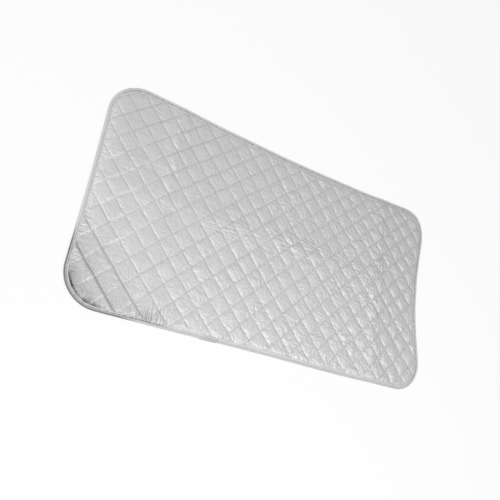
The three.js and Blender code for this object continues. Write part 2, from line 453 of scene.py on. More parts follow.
@dataclass
class QuiltGrid:
    """A grid along the sewn lines, trimmed to the outline moved in by inset, with its rim on that outline."""

    plan: PadPlan
    steps: int
    inset: float
    deal_seeds: tuple[int, int, int, int] = (81, 82, 83, 84)
    a: Array = field(init=False)
    b: Array = field(init=False)
    i: Array = field(init=False)
    j: Array = field(init=False)
    x: Array = field(init=False)
    y: Array = field(init=False)
    quads: Array = field(init=False)

    def __post_init__(self) -> None:
        """Keeps the squares whose middle is inside, numbers their corners anew and snaps the rim."""
        reach = self.plan.line_reach
        count = 2 * reach * self.steps + 1
        ticks = gather(np.arange(count) / self.steps) - reach
        a, b = (side.ravel() for side in np.meshgrid(ticks, ticks, indexing="ij"))
        quads = grid_faces(count, count)[:, TURNED]
        middle = self.plan.from_lattice(a[quads].mean(axis=1), b[quads].mean(axis=1))
        quads = quads[self.plan.inside(*middle, self.inset) > 0.0]
        used, numbers = np.unique(quads, return_inverse=True)
        self.quads = numbers.reshape(-1, 4)
        self.a, self.b = a[used], b[used]
        self.i, self.j = (used // count) % self.steps, used % count % self.steps
        self.x, self.y = self.plan.from_lattice(self.a, self.b)
        self._snap()

    def open_edges(self) -> Array:
        """Finds the edges that only one square uses.

        Returns:
            Pairs of corners, each in its square's direction.
        """
        edges = np.concatenate([self.quads[:, [k, (k + 1) % 4]] for k in range(4)])
        _, first, uses = np.unique(np.sort(edges, axis=1), axis=0, return_index=True, return_counts=True)
        return edges[first[uses == 1]]

    def _snap(self, rounds: int = 3, small: float = 0.2 * MM) -> None:
        """Moves the rim along the slope of the inside distance until it lies on the outline.

        Args:
            rounds: how often the move is made.
            small: the distance over which the slope is taken.
        """
        rim = np.unique(self.open_edges())
        x, y = self.x[rim], self.y[rim]
        for _ in range(rounds):
            away = self.plan.inside(x, y, self.inset)
            slope_x = (self.plan.inside(x + small, y, self.inset) - away) / small
            slope_y = (self.plan.inside(x, y + small, self.inset) - away) / small
            x, y = x - away * slope_x, y - away * slope_y
        self.x[rim], self.y[rim] = x, y

    @property
    def seam_gap(self) -> Array:
        """Distance of each grid point from the nearest sewn line."""
        off_a, off_b = np.abs(self.a - np.round(self.a)), np.abs(self.b - np.round(self.b))
        return np.minimum(off_a * self.plan.falling_spacing, off_b * self.plan.rising_spacing)

    @property
    def puff(self) -> Array:
        """A pillow in each diamond, 0 on the sewn lines and 1 in the middle: the product of both ways."""
        return pillow(self.a) * pillow(self.b)

    def chance(self, seed: int, size: int = 128, nudge: float = 1e-6) -> Array:
        """One seeded value from 0 to 1 for each diamond, the same all over it.

        Args:
            seed: which table of values is used.
            size: how many diamonds the table has each way.
            nudge: what puts points on a sewn line into the diamond after it.

        Returns:
            A value for each grid point.
        """
        table = np.random.default_rng(seed).uniform(0.0, 1.0, (size, size))
        i, j = (np.floor(side + nudge).astype(int) % size for side in (self.a, self.b))
        return table[i, j]

    def skew(self, seed_a: int, seed_b: int) -> Array:
        """A random tilt of each diamond: its offset from the middle, times a chance each way."""
        tilts = ((self.chance(seed_a), self.a), (self.chance(seed_b), self.b))
        return sum((chance - 0.5) * (side - np.floor(side) - 0.5) for chance, side in tilts)

    def deal(self, tiles: Array) -> Array:
        """Heights from sample diamonds: each diamond takes one at random, turned over and swapped at random.

        Args:
            tiles: one square table of heights for each sample diamond, with as many steps as the grid.

        Returns:
            A height for each grid point.
        """
        over_i, over_j, swapped, chosen = (self.chance(seed) for seed in self.deal_seeds)
        i = np.where(over_i < 0.5, self.i, self.steps - self.i)
        j = np.where(over_j < 0.5, self.j, self.steps - self.j)
        swap = swapped < 0.5
        which = (chosen * len(tiles)).astype(int)
        return tiles[which, np.where(swap, j, i), np.where(swap, i, j)]


@dataclass(frozen=True)
class PuffSimulation:
    """Cloth that swells between sewn lines: a square sample of diamonds, each one a little different."""

    cells: int = 6
    steps: int = 16
    frames: int = 14
    pressure: float = 60.0
    growth: float = 0.02
    stiffness: float = 5.0
    bending: float = 0.01
    shear_part: int = 3
    air_damping: float = 1.0
    quality: int = 5
    vertex_mass: float = 0.001
    first_puff: float = 0.6 * MM
    first_noise: float = 0.3 * MM
    noise_gain: float = 1.5
    first_lumps: float = 5.0
    lump_seed: int = 71
    quick_puff: float = 2.4 * MM
    lowest: float = -0.3 * MM
    highest: float = 5.0 * MM

    def run(self, spacing: float) -> Array:
        """Swells the sample with its sewn lines held and no gravity.

        Args:
            spacing: distance between sewn lines.

        Returns:
            Heights above the sewn lines, as one square table for each diamond.
        """
        count = self.cells * self.steps + 1
        ticks = gather(np.arange(count) / self.steps)
        a, b = np.meshgrid(ticks, ticks, indexing="ij")
        dome = pillow(a) * pillow(b)
        lumps = layered_noise(a * self.first_lumps, b * self.first_lumps, self.lump_seed, 2)
        start = dome * (self.first_puff + self.first_noise * (self.noise_gain * lumps))
        height = self._swell(np.stack([a * spacing, b * spacing, start], axis=-1))
        height = np.clip(height, self.lowest, self.highest)
        place = np.arange(self.cells)[:, None] * self.steps + np.arange(self.steps + 1)[None, :]
        tiles = height[place[:, None, :, None], place[None, :, None, :]]
        return tiles.reshape(self.cells**2, self.steps + 1, self.steps + 1)

    def _swell(self, points: Array) -> Array:
        """Runs the cloth frame by frame.

        Args:
            points: the sample's first places, row by row.

        Returns:
            The heights of its last frame.
        """
        count = len(points)
        on_line = np.arange(count) % self.steps == 0
        held = np.flatnonzero(on_line[:, None] | on_line[None, :])
        sheet = new_piece("puff_sample", points, grid_faces(count, count)[:, TURNED])
        sheet.vertex_groups.new(name="sewn").add(held.tolist(), 1.0, "REPLACE")
        cloth = sheet.modifiers.new("Cloth", "CLOTH")
        wanted = {
            "quality": self.quality,
            "mass": self.vertex_mass,
            "air_damping": self.air_damping,
            "tension_stiffness": self.stiffness,
            "compression_stiffness": self.stiffness,
            "shear_stiffness": self.stiffness / self.shear_part,
            "bending_stiffness": self.bending,
            "use_pressure": True,
            "uniform_pressure_force": self.pressure,
            "shrink_min": -self.growth,
            "vertex_group_mass": "sewn",
        }
        for name, value in wanted.items():
            setattr(cloth.settings, name, value)
        cloth.settings.effector_weights.gravity = 0.0
        cloth.collision_settings.use_collision = False
        cloth.point_cache.frame_start, cloth.point_cache.frame_end = 1, self.frames
        scene = bpy.context.scene
        for number in range(1, self.frames + 1):
            scene.frame_set(number)
        result = np.empty(count * count * 3)
        swollen = sheet.evaluated_get(bpy.context.evaluated_depsgraph_get())
        swollen.data.vertices.foreach_get("co", result)
        scene.frame_set(1)
        mesh = sheet.data
        bpy.data.objects.remove(sheet)
        bpy.data.meshes.remove(mesh)
        return result.reshape(count, count, 3)[:, :, 2]


@dataclass(frozen=True)
class Crinkles:
    """Small creases of the crisp cloth: a band along the long fold, tucks at the end folds, and crumples."""

    plan: PadPlan
    band_height: float = 0.8 * MM
    band_width: float = 15.0 * MM
    band_slant: float = 0.12
    band_start: Ramp = Ramp(1.0, -300.0 * MM, 80.0 * MM)
    band_end: Ramp = Ramp(1.0, 320.0 * MM, -60.0 * MM)
    band_wander: Grain = Grain(9.0 * MM, 60.0 * MM, 300.0 * MM, 21)
    band_sway: Grain = Grain(4.0 * MM, 30.0 * MM, 30.0 * MM, 22)
    band_crests: Grain = Grain(1.0, 45.0 * MM, 8.5 * MM, 23, 2)
    left_tucks: Ramp = Ramp(1.7 * MM, -10.0 * MM, 80.0 * MM)
    right_tucks: float = 0.8 * MM
    tuck_width: float = 16.0 * MM
    tuck_lean: float = 0.3
    tuck_wander: Grain = Grain(8.0 * MM, 60.0 * MM, 60.0 * MM, 31)
    tuck_sway: Grain = Grain(3.0 * MM, 20.0 * MM, 20.0 * MM, 33)
    tuck_crests: Grain = Grain(2.6, 14.0 * MM, 24.0 * MM, 35, 2)
    crumple_height: float = 0.26 * MM
    crumple_growth: Ramp = Ramp(0.34 * MM, -100.0 * MM, 400.0 * MM)
    crumple_bend_x: Grain = Grain(5.0 * MM, 18.0 * MM, 18.0 * MM, 43)
    crumple_bend_y: Grain = Grain(5.0 * MM, 18.0 * MM, 18.0 * MM, 44)
    crumple_crests: Grain = Grain(1.0, 11.0 * MM, 18.0 * MM, 45, 2)

    def at(self, x: Array, y: Array) -> Array:
        """Adds the three kinds of crease, each one ridged noise that is stretched along its own direction.

        Args:
            x: plan coordinate along the length.
            y: plan coordinate across the width.

        Returns:
            Heights of both signs.
        """
        off = y - self.plan.long_crease.place + self.band_wander.at(x, y)
        band = bell(off, self.band_width) * self.band_start.at(x) * self.band_end.at(x)
        slant = y + self.band_slant * x + self.band_sway.at(x, y)
        long = self.band_height * band * ridges(self.band_crests.at(x, slant))
        left = self.left_tucks.at(y) * self.tucks(x, y, self.plan.left_crease.place, 0)
        right = self.right_tucks * self.tucks(x, y, self.plan.right_crease.place, 1)
        bend_x, bend_y = x + self.crumple_bend_x.at(x, y), y + self.crumple_bend_y.at(x, y)
        crumple = ridges(self.crumple_crests.at(bend_x + bend_y, bend_x - bend_y))
        return long + left + right + (self.crumple_height + self.crumple_growth.at(x)) * crumple

    def tucks(self, x: Array, y: Array, place: float, number: int) -> Array:
        """Leaning tucks beside one end fold: one less the absolute noise, and none below zero.

        Args:
            x: plan coordinate along the length.
            y: plan coordinate across the width.
            place: where the fold runs.
            number: the fold's number, which chooses its noise.

        Returns:
            Shares from 0 to 1.
        """
        lean = x - self.tuck_lean * y + self.tuck_sway.at(x, y, number)
        near = bell(x - place + self.tuck_wander.at(x, y, number), self.tuck_width)
        return near * np.maximum(1.0 - np.abs(self.tuck_crests.at(lean, y, number)), 0.0)


@dataclass(frozen=True)
class Puckers:
    """Gathers of the face beside the binding, with a few stronger places at the front and the left."""

    plan: PadPlan
    height: float = 0.55 * MM
    run: float = 9.0 * MM
    front_fan: Bulge = Bulge(1.3 * MM, -260.0 * MM, 30.0 * MM)
    fan_run: float = 20.0 * MM
    join_gather: Bulge = Bulge(1.3 * MM, -172.0 * MM, 14.0 * MM)
    left_places: tuple[float, ...] = (33.0 * MM, -18.0 * MM, -78.0 * MM)
    left_height: float = 1.2 * MM
    left_width: float = 14.0 * MM
    left_run: float = 15.0 * MM
    side_waves: Grain = Grain(1.0, 5.5 * MM, 50.0 * MM, 91)
    end_waves: Grain = Grain(1.0, 50.0 * MM, 5.5 * MM, 92)

    def at(self, x: Array, y: Array) -> Array:
        """Noise along each side that fades inward by e to the minus distance.

        Args:
            x: plan coordinate along the length.
            y: plan coordinate across the width.

        Returns:
            Heights of both signs.
        """
        half_x, half_y = (side / 2 - self.plan.binding_width for side in (self.plan.length, self.plan.width))
        sides = self.height * fade(half_y - np.abs(y), self.run)
        sides = sides + self.front_fan.at(x) * fade(half_y + y, self.fan_run)
        sides = sides + self.join_gather.at(x) * fade(half_y + y, self.run)
        ends = self.height * fade(half_x - np.abs(x), self.run)
        near_left = self.left_height * fade(half_x + x, self.left_run)
        for place in self.left_places:
            ends = ends + near_left * bell(y - place, self.left_width)
        return sides * self.side_waves.at(x, y) + ends * self.end_waves.at(x, y)


@dataclass
class QuiltedPad:
    """The sewn sandwich: face cloth, wadding and backing cloth."""

    plan: PadPlan
    face_seam: float = 3.7 * MM
    face_margin: float = 2.6 * MM
    groove_depth: float = 0.6 * MM
    groove_width: float = 1.5 * MM
    corner_groove: float = 1.6
    seam_run: float = 5.0 * MM
    deepest: float = 0.2 * MM
    backing_seam: float = 1.3 * MM
    backing_puff: float = 1.0 * MM
    backing_press: float = 1.6
    backing_ripple: Grain = Grain(0.06 * MM, 20.0 * MM, 20.0 * MM, 51, 2)
    margin_run: float = 11.0 * MM
    margin_lap: float = 1.5 * MM
    cut_inset: float = 1.8 * MM
    under_steps: int = 6
    wadding_inset: float = 1.0 * MM
    wadding_puff: float = 0.96 * MM
    wadding_gap: float = 0.4 * MM
    wadding_lift: float = 0.25 * MM
    wadding_least: float = 0.05 * MM
    swell_least: float = 0.13
    swell_left: Ramp = Ramp(0.34, -380.0 * MM, 400.0 * MM)
    swell_right: Ramp = Ramp(0.4, 100.0 * MM, 250.0 * MM)
    swell_drop: float = 0.05
    swell_chance: float = 0.3
    swell_seed: int = 5
    tilt_least: float = 0.5
    tilt_seeds: tuple[int, int] = (6, 7)
    wear: Ramp = Ramp(0.9, -280.0 * MM, 500.0 * MM)
    wear_least: float = 0.1
    wrinkle_least: float = 0.25
    wrinkle_chance: float = 1.2
    wrinkle_seed: int = 8
    seam_crinkles: float = 0.25
    margin_relief: float = 0.05
    crisp: PuffSimulation = PuffSimulation()
    crumpled: PuffSimulation = PuffSimulation(
        frames=20,
        pressure=40.0,
        growth=0.05,
        stiffness=15.0,
        first_puff=1.0 * MM,
        first_noise=1.2 * MM,
        first_lumps=6.0,
    )

    def margin_share(self, x: Array, y: Array) -> Array:
        """0 under the binding and 1 well inside it, eased over the margin's run."""
        return ease(self.plan.inside(x, y, self.plan.binding_width - self.margin_lap) / self.margin_run)

    def seam_height(self, x: Array, y: Array) -> Array:
        """Height of the face along the sewn lines of a flat pad: from the margin's height to the seams'."""
        share = self.margin_share(x, y)
        return self.face_margin * (1.0 - share) + self.face_seam * share

    def groove(self, x: Array, y: Array) -> Array:
        """Depth of the sewn grooves, which grows into the front left corner."""
        return self.groove_depth * (1.0 + self.corner_groove * self.plan.into_corner(x, y))

    def relief(self, grid: QuiltGrid) -> Array:
        """Height of the swollen and creased face above its seams.

        The crisp samples swell more toward the right end and tilt by chance. The crumpled samples' own
        departures from their mean are added as wrinkles, which grow toward the right, and the crinkles
        are weaker beside the seams.

        Args:
            grid: the face's grid.

        Returns:
            A height for each grid point.
        """
        crisp, crumpled = (sample.run(self.plan.mean_spacing) for sample in (self.crisp, self.crumpled))
        wrinkles = crumpled - crumpled.mean(axis=0)
        LOG.info("highest puffs: %.2f mm crisp, %.2f mm crumpled", crisp.max() / MM, crumpled.max() / MM)
        swell = self.swell_least + self.swell_left.at(grid.x) + self.swell_right.at(grid.x)
        tilt = (self.tilt_least + swell) * grid.skew(*self.tilt_seeds)
        uneven = swell - self.swell_drop + self.swell_chance * grid.chance(self.swell_seed) + tilt
        worn = self.wear_least + self.wear.at(grid.x)
        worn = worn * (self.wrinkle_least + self.wrinkle_chance * grid.chance(self.wrinkle_seed) ** 2)
        away = self.seam_crinkles + (1.0 - self.seam_crinkles) * ease(grid.seam_gap / self.seam_run)
        creased = Crinkles(self.plan).at(grid.x, grid.y) * away
        return np.maximum(grid.deal(crisp) * uneven + worn * grid.deal(wrinkles) + creased, -self.deepest)

    def face(self) -> Piece:
        """Builds the face cloth: a flat sheet on the lattice, swollen between the seams, creased and settled.

        Returns:
            The new piece, with lattice places as its pattern.
        """
        grid = QuiltGrid(self.plan, self.crisp.steps, self.cut_inset)
        share = self.margin_share(grid.x, grid.y)
        sunk = self.groove(grid.x, grid.y) * bell(grid.seam_gap, self.groove_width)
        kept = self.margin_relief + (1.0 - self.margin_relief) * share
        height = self.seam_height(grid.x, grid.y) + (self.relief(grid) - sunk) * kept
        height = height + Puckers(self.plan).at(grid.x, grid.y) * share
        points = np.stack([grid.x, grid.y, height], axis=1)
        lattice = np.stack([grid.a, grid.b], axis=1)
        return new_piece("face_cloth_quilted", self.plan.settle(points), grid.quads, lattice)

    def backing(self) -> Piece:
        """Builds the backing cloth: shallow puffs that the table presses flat, with a margin in the binding.

        Returns:
            The new piece, with plan places as its pattern.
        """
        grid = QuiltGrid(self.plan, self.under_steps, self.cut_inset)
        puff = np.minimum(1.0, self.backing_press * grid.puff) * self.margin_share(grid.x, grid.y)
        height = self.backing_seam - self.backing_puff * puff + self.backing_ripple.at(grid.x, grid.y)
        points = np.stack([grid.x, grid.y, height], axis=1)
        settled = self.plan.settle(points)
        return new_piece("backing_cloth_quilted", settled, grid.quads[:, ::-1], points[:, :2])

    def wadding(self) -> Piece:
        """Builds the wadding: a closed pad between the cloths, thin at the seams, with a wall at its rim.

        Returns:
            The new piece.
        """
        grid = QuiltGrid(self.plan, self.under_steps, self.cut_inset + self.wadding_inset)
        sewn = self.seam_height(grid.x, grid.y) - self.groove(grid.x, grid.y) - self.wadding_gap
        bottom = np.full_like(sewn, self.backing_seam + self.wadding_lift)
        dome = self.wadding_puff * grid.puff * self.margin_share(grid.x, grid.y)
        top = np.maximum(sewn + dome, bottom + self.wadding_least)
        points = np.concatenate([np.stack([grid.x, grid.y, height], axis=1) for height in (top, bottom)])
        rim, count = grid.open_edges(), len(top)
        wall = np.concatenate([rim[:, ::-1], rim + count], axis=1)
        faces = np.concatenate([grid.quads, grid.quads[:, ::-1] + count, wall])
        return new_piece("wadding_layer", self.plan.settle(points), faces)


@dataclass
class EdgeBinding:
    """The tape folded over the edge: its section is carried round the outline, with sewn puckers."""

    plan: PadPlan
    bottom: float = 0.2 * MM
    top: float = 4.6 * MM
    fold: float = 2.2 * MM
    tape: float = 0.8 * MM
    slope: float = 1.0 * MM
    seam_from_edge: float = 2.6 * MM
    seam_dip: float = 1.3 * MM
    seam_width: float = 1.5 * MM
    slack_run: float = 2.0 * MM
    step: float = 2.6 * MM
    fold_points: int = 9
    leg_points: int = 6
    pucker: Grain = Grain(0.28 * MM, 7.0 * MM, 7.0 * MM, 61, 2)
    jitter: Grain = Grain(0.35 * MM, 11.0 * MM, 11.0 * MM, 65)
    lap_start: Ramp = Ramp(1.0, -158.0 * MM, 20.0 * MM)
    lap_end: Ramp = Ramp(1.0, -110.0 * MM, -5.0 * MM)
    lap_rise: float = 0.6 * MM
    lap_out: float = 1.3 * MM

    @property
    def seam_inset(self) -> float:
        """Distance of the seam from the outer edge."""
        return self.plan.binding_width - self.seam_from_edge

    def lap(self, x: Array, y: Array) -> Array:
        """Where the tape's end laps over its start, on the front side: 1 there, eased at both ends."""
        return self.lap_start.at(x) * self.lap_end.at(x) * (y < 0.0)

    def top_height(self, inset: Array, x: Array, y: Array) -> Array:
        """Height of the tape's upper face: level over the fold, dipped along its seam, with puckers.

        Args:
            inset: distance in from the edge.
            x: plan coordinate along the length.
            y: plan coordinate across the width.

        Returns:
            Heights for a flat pad.
        """
        across = np.clip((inset - self.fold) / (self.plan.binding_width - self.fold), 0.0, 1.0)
        dip = self.seam_dip * bell(inset - self.seam_inset, self.seam_width)
        pucker = self.pucker.at(x, y) * ease(across * 2.0)
        return self.top - self.slope * across**2 - dip + pucker + self.lap_rise * self.lap(x, y)

    def wall(self, within: float) -> tuple[Array, Array]:
        """One wall of the section, over the fold from the upper to the lower inner edge.

        Args:
            within: how far the wall lies inside the outer one.

        Returns:
            Each point's distance in from the edge and its height.
        """
        half = (self.top - self.bottom) / 2
        turn = np.linspace(math.pi / 2, 3 * math.pi / 2, self.fold_points)
        leg = np.linspace(self.plan.binding_width, self.fold, self.leg_points, endpoint=False)
        inset = np.concatenate([leg, self.fold + (self.fold - within) * np.cos(turn), leg[::-1]])
        level = np.full(self.leg_points, half - within)
        rise = np.concatenate([level, (half - within) * np.sin(turn), -level])
        return inset, self.bottom + half + rise

    def build(self) -> Piece:
        """Builds the closed tape: the outer wall, and back along the inner one.

        Returns:
            The new piece, with distances along and across the tape as its pattern.
        """
        count = int(self.plan.around() / self.step)
        points, inward = self.plan.outline(count)
        outer, inner = self.wall(0.0), self.wall(self.tape)
        inset, height = (np.concatenate([there, back[::-1]]) for there, back in zip(outer, inner))
        x, y = (points[:, None, k] + inward[:, None, k] * inset for k in range(2))
        half = (self.top - self.bottom) / 2
        upper = ease((height - self.bottom - half) / half * 2.0)
        z = height + (self.top_height(np.broadcast_to(inset, x.shape), x, y) - self.top) * upper
        slack = ease((inset - self.seam_inset) / self.slack_run)
        move = self.jitter.at(x, y) * slack - self.lap_out * self.lap(x, y) * ease(2.0 - inset / self.fold)
        moved = [side + inward[:, None, k] * move for k, side in enumerate((x, y))]
        across = np.concatenate([[0.0], np.cumsum(np.hypot(np.diff(inset), np.diff(height)))])
        uv = np.stack(np.meshgrid(np.arange(count) * self.step, across, indexing="ij"), axis=-1)
        faces = grid_faces(count, len(inset), True, True)
        return new_piece("edge_binding_tape", self.plan.settle(np.stack([*moved, z], axis=-1)), faces, uv)


class Face(Enum):
    """Which side of the pad a thread shows on."""

    UPPER = 1
    UNDER = -1


@dataclass(frozen=True)
class Stitch:
    """One stitch: a short thread that arches out of the cloth and dives in at both ends."""

    pitch: float = 3.4 * MM
    gap: float = 0.5 * MM
    radius: float = 0.22 * MM
    arch: float = 0.22 * MM
    dive: float = 0.35 * MM
    taper: float = 0.75
    rings: int = 5
    sides: int = 6

    def lay(self, name: str, middle: Array, along: Array, side: Face, plan: PadPlan) -> Piece:
        """Lays a stitch at each place: rings round a line that arches by one less the square of its share.

        Args:
            name: the piece's name.
            middle: the stitches' middles on the cloth of a flat pad.
            along: unit plan directions of the stitches.
            side: the side of the pad that they arch out of.
            plan: the pad's plan, which settles them.

        Returns:
            One object with all the stitches.
        """
        share = np.linspace(-1.0, 1.0, self.rings)
        angle = np.linspace(0.0, 2.0 * math.pi, self.sides, endpoint=False)
        radius = self.radius * np.sqrt(1.0 - self.taper * share**4)
        run = (self.pitch - self.gap) / 2 * share
        rise = (self.arch + self.dive) * (1.0 - share**2) - self.dive
        level = np.zeros(len(along))
        direction = np.stack([along[:, 0], along[:, 1], level], axis=1)
        across = np.stack([-along[:, 1], along[:, 0], level], axis=1)
        up = np.array([0.0, 0.0, 1.0])
        path = middle[:, None, :] + direction[:, None, :] * run[:, None] + side.value * up * rise[:, None]
        around = across[:, None, None, :] * np.cos(angle)[:, None] + up * np.sin(angle)[:, None]
        tube = path[:, :, None, :] + around * radius[:, None, None]
        walls = grid_faces(self.rings, self.sides, False, True)
        # Two quads close each end of the six-sided thread
        corners = np.arange(self.sides)
        ends = np.array([corners[::-1], (self.rings - 1) * self.sides + corners])
        single = np.concatenate([walls, ends[:, [0, 1, 2, 3]], ends[:, [0, 3, 4, 5]]])[:, ::-1]
        first = np.arange(len(middle))[:, None, None] * (self.rings * self.sides)
        return new_piece(name, plan.settle(tube.reshape(-1, 3)), (single + first).reshape(-1, 4))


@dataclass
class PadStitching:
    """All the pad's threads: quilting lines of two families and the binding's seam, on both sides."""

    plan: PadPlan
    pad: QuiltedPad
    binding: EdgeBinding
    quilting: Stitch = Stitch()
    edging: Stitch = Stitch(pitch=3.0 * MM, gap=0.6 * MM, radius=0.24 * MM)
    under_binding: float = 3.0 * MM
    sunk: float = 0.35 * MM
    look_ahead: float = 0.01

    def quilting_places(self, rising: bool) -> tuple[Array, Array]:
        """Places of the stitches along one family of lines, up to the binding.

        Args:
            rising: whether the family is the rising one.

        Returns:
            The stitches' middles and their unit directions.
        """
        plan = self.plan
        count = int(2 * plan.line_reach * plan.mean_spacing / self.quilting.pitch)
        run = ((np.arange(count) + 0.5) / count * 2.0 - 1.0) * plan.line_reach
        line = np.arange(-plan.line_reach, plan.line_reach + 1, dtype=float)
        fixed, moving = (side.ravel() for side in np.meshgrid(line, run, indexing="ij"))
        pairs = [(fixed, moving), (fixed, moving + self.look_ahead)]
        turned = [pair[::-1] if rising else pair for pair in pairs]
        here, ahead = (np.stack(plan.from_lattice(*pair), axis=1) for pair in turned)
        along = (ahead - here) / np.linalg.norm(ahead - here, axis=1, keepdims=True)
        keep = plan.inside(here[:, 0], here[:, 1], plan.binding_width - self.under_binding) > 0.0
        return here[keep], along[keep]

    def quilting_thread(self, name: str, rising: bool, side: Face) -> Piece:
        """Builds one family's thread on one side of the pad.

        Args:
            name: the piece's name.
            rising: whether the family is the rising one.
            side: the side that the thread shows on.

        Returns:
            The new piece.
        """
        places, along = self.quilting_places(rising)
        height = np.full(len(places), self.pad.backing_seam)
        if side is Face.UPPER:
            height = self.pad.seam_height(places[:, 0], places[:, 1]) - self.sunk
        return self.quilting.lay(name, np.column_stack([places, height]), along, side, self.plan)

    def binding_thread(self, name: str, side: Face) -> Piece:
        """Builds the seam that sews the binding down, on one side of the pad.

        Args:
            name: the piece's name.
            side: the side that the thread shows on.

        Returns:
            The new piece.
        """
        points, inward = self.plan.outline(int(self.plan.around() / self.edging.pitch))
        inset = np.full(len(points), self.binding.seam_inset)
        places = points + inward * self.binding.seam_inset
        along = np.stack([inward[:, 1], -inward[:, 0]], axis=1)
        height = np.full(len(places), self.binding.bottom + self.edging.radius)
        if side is Face.UPPER:
            height = self.binding.top_height(inset, places[:, 0], places[:, 1])
        return self.edging.lay(name, np.column_stack([places, height]), along, side, self.plan)


@dataclass(frozen=True)
class Value:
    """A node's output, with arithmetic that adds nodes to its board."""

    board: "Board"
    socket: bpy.types.NodeSocket

    def __add__(self, other: "Value | float") -> "Value":
        """The sum."""
        return self.board.math("ADD", self, other)

    def __sub__(self, other: "Value | float") -> "Value":
        """The difference."""
        return self.board.math("SUBTRACT", self, other)

    def __rsub__(self, other: float) -> "Value":
        """A number less this value."""
        return self.board.math("SUBTRACT", other, self)

    def __mul__(self, other: "Value | float") -> "Value":
        """The product."""
        return self.board.math("MULTIPLY", self, other)

    def __truediv__(self, other: "Value | float") -> "Value":
        """The quotient."""
        return self.board.math("DIVIDE", self, other)

    def __abs__(self) -> "Value":
        """The value without its sign."""
        return self.board.math("ABSOLUTE", self)

    def most(self, other: "Value | float") -> "Value":
        """The larger of two values."""
        return self.board.math("MAXIMUM", self, other)

    def least(self, other: "Value | float") -> "Value":
        """The smaller of two values."""
        return self.board.math("MINIMUM", self, other)

    def below(self, limit: float) -> "Value":
        """1 where the value is less than the limit, and 0 elsewhere."""
        return self.board.math("LESS_THAN", self, limit)

    def fade(self, rate: float) -> "Value":
        """e to the minus rate times the value."""
        return self.board.math("EXPONENT", self * -rate)

    def bell(self, place: float, width: "Value | float") -> "Value":
        """e to the minus square of the distance from a place, in widths."""
        off = (self - place) / width
        return (off * off).fade(1.0)

    def ramp(self, span: Span, heights: Span = (0.0, 1.0), easing: str = "LINEAR") -> "Value":
        """A rise over a span, level on both sides of it.

        Args:
            span: the values at which it starts and ends.
            heights: what it gives there.
            easing: the kind of rise.

        Returns:
            The mapped value.
        """
        ends = {"From Min": span[0], "From Max": span[1], "To Min": heights[0], "To Max": heights[1]}
        return self.board.out("ShaderNodeMapRange", {"Value": self, **ends}, interpolation_type=easing)

    def step(self, span: Span, height: float = 1.0) -> "Value":
        """A smooth step over a span, 0 before it and height after it."""
        return self.ramp(span, (0.0, height), "SMOOTHSTEP")


@dataclass(frozen=True)
class Board:
    """A node tree with short calls for adding and joining nodes."""

    tree: bpy.types.NodeTree

    @classmethod
    def cleared(cls, owner: bpy.types.ID) -> "Board":
        """Starts an empty board.

        Args:
            owner: the material or the world whose nodes are used.

        Returns:
            The board.
        """
        owner.use_nodes = True
        owner.node_tree.nodes.clear()
        return cls(owner.node_tree)

    def add(self, kind: str, inputs: dict | None = None, **settings: object) -> bpy.types.Node:
        """Adds a node.

        Args:
            kind: the node's type name.
            inputs: socket names or numbers, with a plain value or a Value to join.
            settings: the node's own properties.

        Returns:
            The new node.
        """
        node = self.tree.nodes.new(kind)
        for key, value in settings.items():
            setattr(node, key, value)
        for key, value in (inputs or {}).items():
            if isinstance(value, Value):
                self.tree.links.new(value.socket, node.inputs[key])
            else:
                node.inputs[key].default_value = value
        return node

    def out(self, kind: str, inputs: dict | None = None, output: int | str = 0, **settings: object) -> Value:
        """Adds a node and gives one of its outputs.

        Args:
            kind: the node's type name.
            inputs: socket names or numbers, with a plain value or a Value to join.
            output: the wanted output's name or number.
            settings: the node's own properties.

        Returns:
            The output.
        """
        return Value(self, self.add(kind, inputs, **settings).outputs[output])

    def math(self, operation: str, first: "Value | float", second: "Value | float" = 0.0) -> Value:
        """Joins two values with a Math node."""
        return self.out("ShaderNodeMath", {0: first, 1: second}, operation=operation)

    def axes(self, vector: Value) -> tuple[Value, Value]:
        """The X and Y of a vector."""
        split = self.add("ShaderNodeSeparateXYZ", {0: vector})
        return Value(self, split.outputs["X"]), Value(self, split.outputs["Y"])

    def vector(self, x: Value, y: Value, z: float = 0.0) -> Value:
        """A vector of two values and a number."""
        return self.out("ShaderNodeCombineXYZ", {"X": x, "Y": y, "Z": z})

    def noise(self, vector: Value, scale: "Value | float", detail: float = 1.0, **more: float) -> Value:
        """Smooth noise of about 0 to 1, with its Roughness or Distortion where it has them."""
        inputs = {"Vector": vector, "Scale": scale, "Detail": detail, **more}
        return self.out("ShaderNodeTexNoise", inputs, "Fac")

    def pattern(self) -> Value:
        """The piece's own pattern coordinates."""
        return self.out("ShaderNodeUVMap", uv_map="Cloth")

    def group(self, tree: bpy.types.NodeTree, inputs: dict) -> Value:
        """Places a shared effect and gives its output."""
        return self.out("ShaderNodeGroup", inputs, node_tree=tree)


